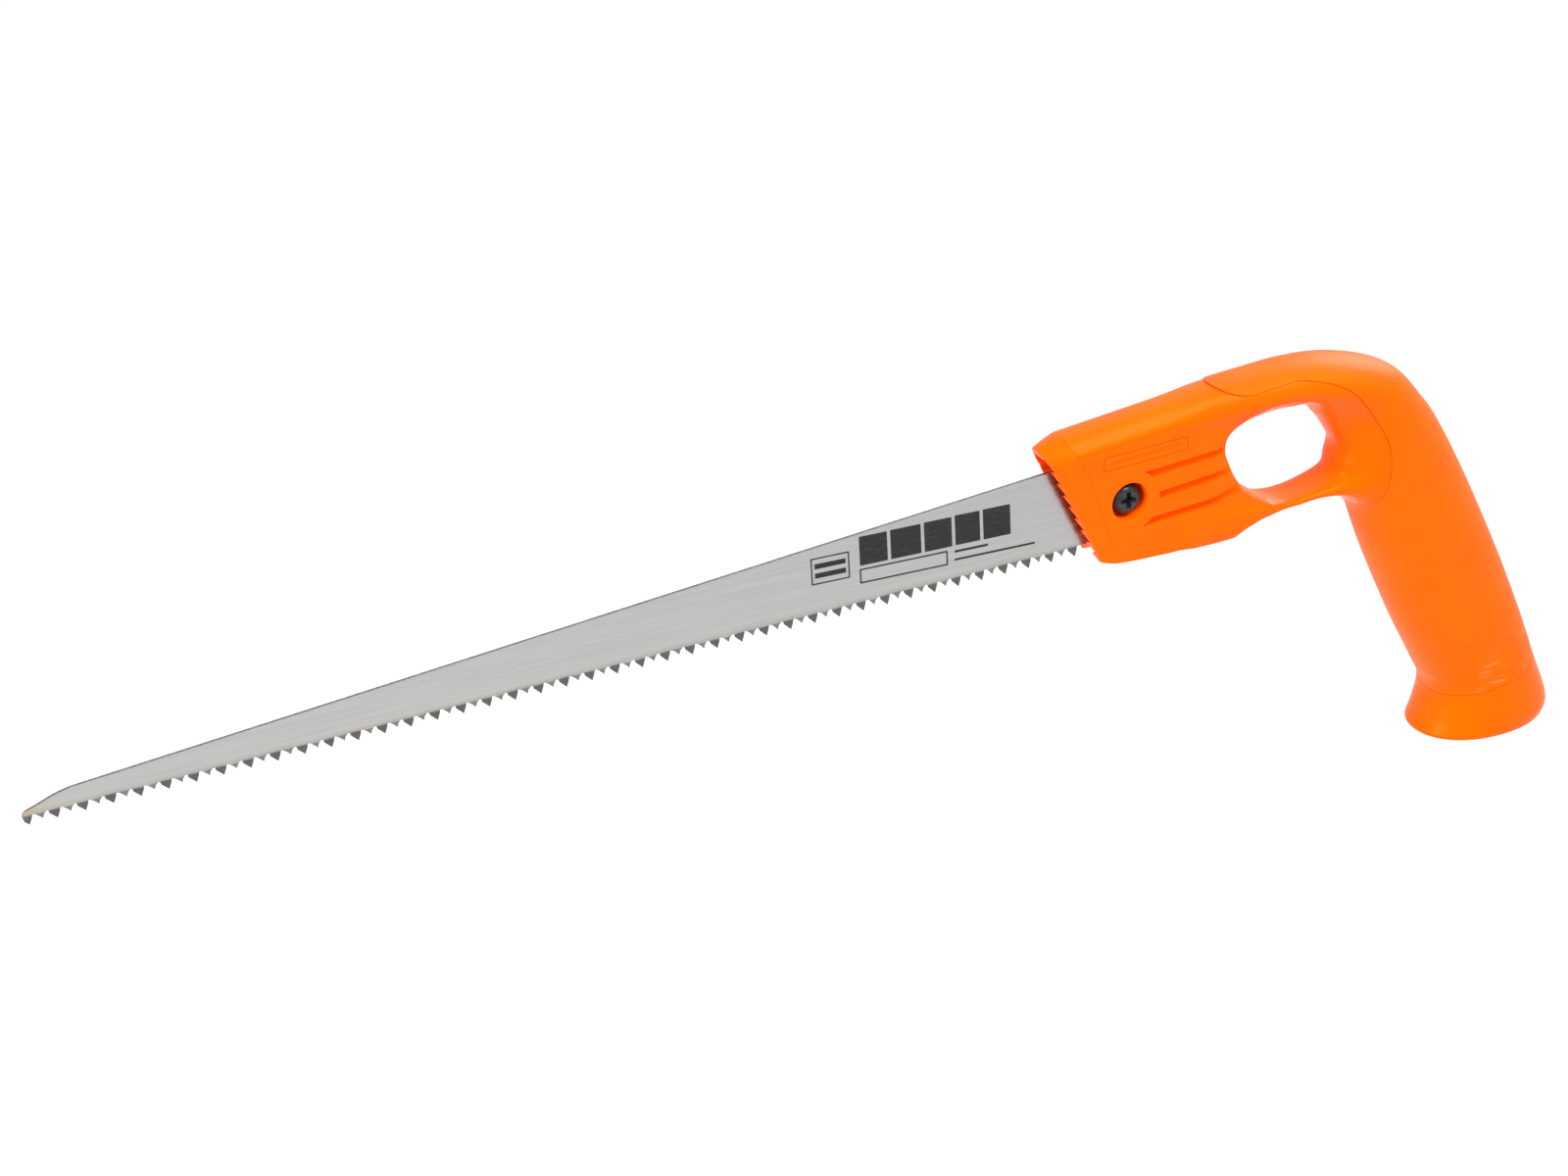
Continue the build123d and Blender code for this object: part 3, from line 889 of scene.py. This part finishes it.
def make_print():
    """Plain printed bars and boxes on the blade's near face, with no lettering."""
    marks = []
    face_y = -BLADE_HALF_THICKNESS
    for left, right, bottom, height, *line in PRINT_BARS + PRINT_BOXES:
        drop = PRINT_SLOPE * (right - left)
        corners = [
            (left, bottom),
            (right, bottom + drop),
            (right, bottom + drop + height),
            (left, bottom + height),
        ]
        mark = prism("mark", rounded(corners, 0.25), face_y - PRINT_THICKNESS, face_y + 0.01)
        if line:
            hollow = rounded(inset(corners, line[0]), 0.15)
            carve(mark, prism("hollow", hollow, face_y - 1, face_y + 1))
        marks.append(mark)
    joined = bmesh.new()
    for mark in marks:
        joined.from_mesh(mark.data)
        bpy.data.objects.remove(mark)
    mesh = bpy.data.meshes.new("blade_print")
    joined.to_mesh(mesh)
    joined.free()
    piece = bpy.data.objects.new("blade_print", mesh)
    bpy.context.collection.objects.link(piece)
    return piece


# ---------------------------------------------------------------- clamp hardware
def make_screw():
    """The black pan-head screw: turned head with a cross recess, and a threaded shank."""
    rings = []
    segments = 48
    rows = int((SCREW_TIP_Y - HEAD_SEAT_Y) / 0.1)
    for row in range(rows + 1):
        y = HEAD_SEAT_Y + (SCREW_TIP_Y - HEAD_SEAT_Y) * row / rows
        fade = min(1.0, (y - HEAD_SEAT_Y) / 0.8)
        tip = max(0.0, 1 - (SCREW_TIP_Y - y) / 0.7)
        ring = []
        for i in range(segments):
            turn = 2 * math.pi * i / segments
            phase = (y / THREAD_PITCH - i / segments) % 1.0
            radius = THREAD_RADIUS - THREAD_DEPTH * fade * abs(2 * phase - 1) - 0.45 * tip
            ring.append(
                (SCREW_AXIS[0] + radius * math.cos(turn), y, SCREW_AXIS[1] + radius * math.sin(turn))
            )
        rings.append(ring)
    shank = ring_solid("shank", rings)
    height = HEAD_SEAT_Y - HEAD_TOP_Y
    profile = [
        (0, HEAD_SEAT_Y + 0.05),
        (HEAD_RADIUS - 0.3, HEAD_SEAT_Y + 0.05),
        (HEAD_RADIUS, HEAD_SEAT_Y - 0.2),
    ]
    for step in range(13):
        turn = math.pi / 2 * step / 12
        radius = HEAD_RADIUS * (0.46 + 0.54 * math.cos(turn))
        profile.append((radius, HEAD_SEAT_Y - 0.9 - (height - 0.9) * math.sin(turn)))
    profile.append((0, HEAD_TOP_Y))
    head = lathe("clamp_screw", profile)
    recess = []
    for y, span, width in (
        (HEAD_TOP_Y - 0.5, RECESS_SPAN, RECESS_WIDTH),
        (HEAD_TOP_Y + 0.6, RECESS_SPAN * 0.9, RECESS_WIDTH * 0.95),
        (HEAD_TOP_Y + RECESS_DEPTH, RECESS_SPAN * 0.45, RECESS_WIDTH * 0.8),
    ):
        a, b, c = span / 2, width / 2, width * 0.85
        quarter = [(a, -b), (a, b), (c, c * 0.9)]
        ring = []
        for turns in range(4):
            cos, sin = math.cos(turns * math.pi / 2), math.sin(turns * math.pi / 2)
            for px, pz in quarter:
                ring.append(
                    (SCREW_AXIS[0] + px * cos - pz * sin, y, SCREW_AXIS[1] + px * sin + pz * cos)
                )
        recess.append(ring)
    carve(head, ring_solid("recess_tool", recess))
    carve(head, shank, "UNION")
    smooth(head, 40.0)
    return head


def make_washer():
    """The plain black washer under the screw's head, with softened rims."""
    inner, outer = THREAD_RADIUS + 0.09, WASHER_RADIUS
    low, high = WASHER_SEAT_Y, WASHER_TOP_Y
    bevel = 0.15
    profile = [
        (inner, low - bevel),
        (inner + bevel, low),
        (outer - bevel, low),
        (outer, low - bevel),
        (outer, high + bevel),
        (outer - bevel, high),
        (inner + bevel, high),
        (inner, high + bevel),
    ]
    washer = lathe("washer", profile, closed=True)
    smooth(washer, 30.0)
    return washer


def make_nut():
    """The zinc nut: a hexagon with turned-off corners and a countersunk bore."""
    nut = ring_solid("clamp_nut", [hexagon(NUT_ACROSS_FLATS, y) for y in (NUT_SEAT_Y, NUT_OUTER_Y)])
    corner = NUT_ACROSS_FLATS / math.sqrt(3)
    turned = [
        (0, NUT_SEAT_Y - 0.01),
        (NUT_ACROSS_FLATS / 2, NUT_SEAT_Y - 0.01),
        (corner + 0.02, NUT_SEAT_Y + 0.45),
        (corner + 0.02, NUT_OUTER_Y - 0.45),
        (NUT_ACROSS_FLATS / 2, NUT_OUTER_Y + 0.01),
        (0, NUT_OUTER_Y + 0.01),
    ]
    carve(nut, lathe("nut_turning", turned), "INTERSECT")
    bore = THREAD_RADIUS + 0.06
    bored = [
        (0, NUT_SEAT_Y - 1),
        (bore + 0.4, NUT_SEAT_Y - 1),
        (bore + 0.4, NUT_SEAT_Y),
        (bore, NUT_SEAT_Y + 0.4),
        (bore, NUT_OUTER_Y - 0.4),
        (bore + 0.4, NUT_OUTER_Y),
        (bore + 0.4, NUT_OUTER_Y + 1),
        (0, NUT_OUTER_Y + 1),
    ]
    carve(nut, lathe("nut_bore", bored))
    smooth(nut, 25.0)
    return nut


# ---------------------------------------------------------------- materials
def start_material(name, colour, roughness, metallic=0.0, specular=0.5):
    """A material with constants set on its shader, and the nodes to build on."""
    material = bpy.data.materials.new(name)
    material.use_nodes = True
    tree = material.node_tree
    shader = tree.nodes["Principled BSDF"]
    shader.inputs["Base Color"].default_value = (*colour, 1)
    shader.inputs["Roughness"].default_value = roughness
    shader.inputs["Metallic"].default_value = metallic
    shader.inputs["Specular IOR Level"].default_value = specular
    return material, tree, shader


def node(tree, kind, inputs=None, **settings):
    """A node with its settings, and each input either linked from a socket or set to a value."""
    made = tree.nodes.new(kind)
    for name, value in settings.items():
        setattr(made, name, value)
    for name, value in (inputs or {}).items():
        socket = made.inputs[name]
        if isinstance(value, bpy.types.NodeSocket):
            tree.links.new(value, socket)
        else:
            socket.default_value = value
    return made


def object_point(tree, scale):
    """The point on the object, stretched by a scale along each axis."""
    place_on = node(tree, "ShaderNodeTexCoord")
    return node(
        tree, "ShaderNodeMapping", {"Vector": place_on.outputs["Object"], "Scale": scale}
    ).outputs["Vector"]


def noise(tree, point, scale, detail=3.0, roughness=0.5):
    """Noise from 0 to 1 at a point."""
    return node(
        tree,
        "ShaderNodeTexNoise",
        {"Vector": point, "Scale": scale, "Detail": detail, "Roughness": roughness},
    ).outputs["Fac"]


def ramp(tree, value, from_low, from_high, to_low=0.0, to_high=1.0):
    """A value carried from one range to another, held inside it."""
    return node(
        tree,
        "ShaderNodeMapRange",
        {"Value": value, "From Min": from_low, "From Max": from_high, "To Min": to_low, "To Max": to_high},
        clamp=True,
    ).outputs["Result"]


def blend(tree, share, colour_a, colour_b):
    """A mix of two colours by a share."""
    mix = node(tree, "ShaderNodeMix", data_type="RGBA")
    for socket, value in ((mix.inputs[0], share), (mix.inputs[6], colour_a), (mix.inputs[7], colour_b)):
        if isinstance(value, bpy.types.NodeSocket):
            tree.links.new(value, socket)
        elif isinstance(value, tuple):
            socket.default_value = (*value, 1)
        else:
            socket.default_value = value
    return mix.outputs[2]


def bump(tree, shader, height, distance, strength=1.0, under=None):
    """Fine relief under the shader's normal, distance in metres."""
    made = node(tree, "ShaderNodeBump", {"Height": height, "Distance": distance, "Strength": strength})
    if under is not None:
        tree.links.new(under, made.inputs["Normal"])
    tree.links.new(made.outputs["Normal"], shader.inputs["Normal"])
    return made.outputs["Normal"]


def parting_shade_share(tree, point, line):
    """A share of painted shade along a mould's parting line, from one (x, z) in millimetres to another."""
    (ax, az), (bx, bz) = line
    length = math.hypot(bx - ax, bz - az)
    apart = node(tree, "ShaderNodeSeparateXYZ", {"Vector": point})

    def along(cos, sin, start):
        x_part = node(tree, "ShaderNodeMath", {0: apart.outputs["X"], 1: cos}, operation="MULTIPLY")
        both = node(
            tree,
            "ShaderNodeMath",
            {0: apart.outputs["Z"], 1: sin, 2: x_part.outputs[0]},
            operation="MULTIPLY_ADD",
        )
        return node(
            tree, "ShaderNodeMath", {0: both.outputs[0], 1: start * MM}, operation="SUBTRACT"
        ).outputs[0]

    cos, sin = (bx - ax) / length, (bz - az) / length
    off = along(-sin, cos, az * cos - ax * sin)
    away = node(tree, "ShaderNodeMath", {0: off}, operation="ABSOLUTE").outputs[0]
    down = along(cos, sin, ax * cos + az * sin)
    share = ramp(tree, away, PARTING_SHADE_WIDTH * MM, 0.3 * PARTING_SHADE_WIDTH * MM, 0.0, PARTING_SHADE_SHARE)
    for start, end in ((-0.0005, 0.0), (length * MM + 0.001, length * MM)):
        inside = ramp(tree, down, start, end)
        share = node(tree, "ShaderNodeMath", {0: share, 1: inside}, operation="MULTIPLY").outputs[0]
    return share


def orange_plastic(name, roughness, grain_scale, grain_height, scuffs=False, shaded_parting_lines=()):
    """Moulded orange plastic with a fine grain and, where asked, pale scuffs and painted shade along
    parting lines.
    """
    material, tree, shader = start_material(name, ORANGE, roughness, specular=PLASTIC_SPECULAR)
    shader.inputs["Specular Tint"].default_value = (*PLASTIC_TINT, 1)
    shader.inputs["IOR"].default_value = PLASTIC_IOR
    point = object_point(tree, (1, 1, 1))
    cloud = ramp(tree, noise(tree, point, 60.0), 0.35, 0.65)
    colour = blend(tree, cloud, ORANGE, ORANGE_DEEP)
    if scuffs:
        streaks = noise(tree, object_point(tree, (130, 130, 750)), 1.0, 4.0)
        patch = noise(tree, object_point(tree, (60, 60, 90)), 1.0, 1.0)
        height = node(tree, "ShaderNodeSeparateXYZ", {"Vector": point}).outputs["Z"]
        share = ramp(tree, streaks, 0.52, 0.74, 0.0, 0.8)
        for value, start, end in ((patch, 0.45, 0.6), (height, -0.022, -0.032), (height, -0.050, -0.040)):
            limit = ramp(tree, value, start, end)
            share = node(tree, "ShaderNodeMath", {0: share, 1: limit}, operation="MULTIPLY").outputs[0]
        colour = blend(tree, share, colour, ORANGE_SCUFF)
    # painted shade: each parting line darkens the colour, standing in for the shade in its fine groove
    for line in shaded_parting_lines:
        colour = blend(tree, parting_shade_share(tree, point, line), colour, PARTING_SHADE_RED)
    tree.links.new(colour, shader.inputs["Base Color"])
    grain = noise(tree, point, grain_scale, 2.0)
    rough = ramp(tree, grain, 0.2, 0.8, roughness - 0.05, roughness + 0.07)
    tree.links.new(rough, shader.inputs["Roughness"])
    bump(tree, shader, grain, grain_height)
    return material


def blade_steel():
    """Satin steel brushed along the blade, with teeth and toe darkened by hardening."""
    material, tree, shader = start_material("satin_steel", STEEL, 0.23, metallic=1.0)
    point = object_point(tree, (1, 1, 1))
    brushed = noise(tree, object_point(tree, (35, 700, 2600)), 1.0, 6.0, 0.65)
    fine = noise(tree, object_point(tree, (150, 900, 6500)), 1.0, 3.0)
    colour = blend(tree, ramp(tree, brushed, 0.35, 0.65), STEEL, STEEL_PALE)
    apart = node(tree, "ShaderNodeSeparateXYZ", {"Vector": point})
    wobble = ramp(tree, noise(tree, object_point(tree, (90, 0, 0)), 1.0), 0.3, 0.7, -0.0003, 0.0003)
    height = node(tree, "ShaderNodeMath", {0: apart.outputs["Z"], 1: wobble}, operation="ADD").outputs[0]
    tint = ramp(tree, height, (HARDENED_Z + 1.2) * MM, HARDENED_Z * MM, 0.0, 0.6)
    colour = blend(tree, tint, colour, STEEL_TINT)
    toe = ramp(tree, apart.outputs["X"], -0.408, -0.4175, 0.0, 0.8)
    colour = blend(tree, toe, colour, STEEL_GOLD)
    hardened = ramp(tree, height, HARDENED_Z * MM, (HARDENED_Z - 0.25) * MM)
    colour = blend(tree, hardened, colour, STEEL_DARK)
    tree.links.new(colour, shader.inputs["Base Color"])
    rough = ramp(tree, brushed, 0.3, 0.7, 0.18, 0.28)
    tree.links.new(rough, shader.inputs["Roughness"])
    under = bump(tree, shader, brushed, 0.00002, 0.5)
    bump(tree, shader, fine, 0.00001, 0.5, under)
    return material


def hardware(name, colour, roughness, metallic, grain_height):
    """Small metal parts with a fine plated or blackened surface."""
    material, tree, shader = start_material(name, colour, roughness, metallic, specular=0.3)
    point = object_point(tree, (1, 1, 1))
    cloud = noise(tree, point, 900.0, 3.0)
    pale = tuple(min(1.0, 1.5 * value + 0.01) for value in colour)
    tree.links.new(blend(tree, ramp(tree, cloud, 0.4, 0.7), colour, pale), shader.inputs["Base Color"])
    rough = ramp(tree, cloud, 0.3, 0.7, roughness - 0.05, roughness + 0.1)
    tree.links.new(rough, shader.inputs["Roughness"])
    bump(tree, shader, cloud, grain_height)
    return material


def print_ink():
    """Matt black ink with a slightly uneven colour."""
    material, tree, shader = start_material("print_ink", (0.012, 0.012, 0.013), 0.5, specular=0.15)
    grain = noise(tree, object_point(tree, (400, 400, 1600)), 1.0, 3.0)
    colour = blend(tree, ramp(tree, grain, 0.45, 0.75), (0.012, 0.012, 0.013), (0.022, 0.022, 0.023))
    tree.links.new(colour, shader.inputs["Base Color"])
    bump(tree, shader, grain, 0.000005)
    return material


# ---------------------------------------------------------------- stage
def add_camera():
    """The camera at the place and turn of the product shot."""
    azimuth, elevation, roll = map(math.radians, (CAMERA_AZIMUTH, CAMERA_ELEVATION, CAMERA_ROLL))
    data = bpy.data.cameras.new("camera")
    data.lens = CAMERA_LENS
    data.sensor_width = 36.0
    camera = bpy.data.objects.new("camera", data)
    back = Vector(
        (
            math.sin(azimuth) * math.cos(elevation),
            -math.cos(azimuth) * math.cos(elevation),
            math.sin(elevation),
        )
    )
    level_right = Vector((math.cos(azimuth), math.sin(azimuth), 0))
    right = math.cos(roll) * level_right + math.sin(roll) * back.cross(level_right)
    turn = Matrix((right, back.cross(right), back)).transposed()
    camera.matrix_world = Matrix.Translation(CAMERA_LOCATION) @ turn.to_4x4()
    bpy.context.collection.objects.link(camera)
    bpy.context.scene.camera = camera


def add_light(name, location, size, power, target=(-0.15, 0, 0.03)):
    """A square soft light at a place in metres, turned to the saw."""
    data = bpy.data.lights.new(name, "AREA")
    data.energy = power
    data.size = size
    light = bpy.data.objects.new(name, data)
    light.location = location
    light.rotation_euler = (Vector(location) - Vector(target)).to_track_quat("Z", "Y").to_euler()
    bpy.context.collection.objects.link(light)


def add_floor():
    """A plain pale floor, far enough below the saw for its shadow to spread out of sight."""
    half = FLOOR_HALF_SIZE / MM
    corners = [(x, y, FLOOR_Z) for x, y in ((-half, -half), (half, -half), (half, half), (-half, half))]
    floor = new_mesh("floor", corners, [(0, 1, 2, 3)])
    material, _, _ = start_material("floor_white", FLOOR_WHITE, 0.9, specular=0.0)
    floor.data.materials.append(material)


def add_world():
    """Even white light from all round."""
    world = bpy.data.worlds.new("world")
    world.use_nodes = True
    background = world.node_tree.nodes["Background"]
    background.inputs["Color"].default_value = (1, 1, 1, 1)
    background.inputs["Strength"].default_value = WORLD_STRENGTH
    bpy.context.scene.world = world
    bpy.context.scene.view_settings.view_transform = "Standard"


add_camera()
add_world()
add_floor()
for light in LIGHTS:
    add_light(*light)

black = hardware("black_hardware", (0.012, 0.012, 0.014), 0.16, 0.0, 0.000004)
zinc = hardware("zinc_plate", (0.42, 0.42, 0.40), 0.32, 1.0, 0.000004)
handle_core, grip_skin = make_handle()
orange_body = orange_plastic("orange_body", 0.32, 1500.0, 0.00001, shaded_parting_lines=SHADED_PARTING_LINES)
orange_skin = orange_plastic("orange_skin", 0.44, 2600.0, 0.00003, scuffs=True)
place(handle_core, "handle", "handle_plastic", orange_body, "handle_core")
place(grip_skin, "handle", "grip_skin", orange_skin, "grip_skin")
blade = make_blade()
place(blade, "blade", "blade_steel", blade_steel(), "blade")
sheared = hardware("sheared_edge", (0.17, 0.17, 0.17), 0.5, 1.0, 0.00002)
ground = hardware("ground_facets", STEEL_GROUND, 0.2, 1.0, 0.000003)
finish_edges(blade, sheared, ground)
place(make_print(), "blade", "blade_steel", print_ink())
place(make_screw(), "screw", "black_hardware", black, "clamp_screw")
place(make_washer(), "washer", "black_hardware", black, "washer")
place(make_nut(), "handle", "zinc_hardware", zinc, "clamp_nut")
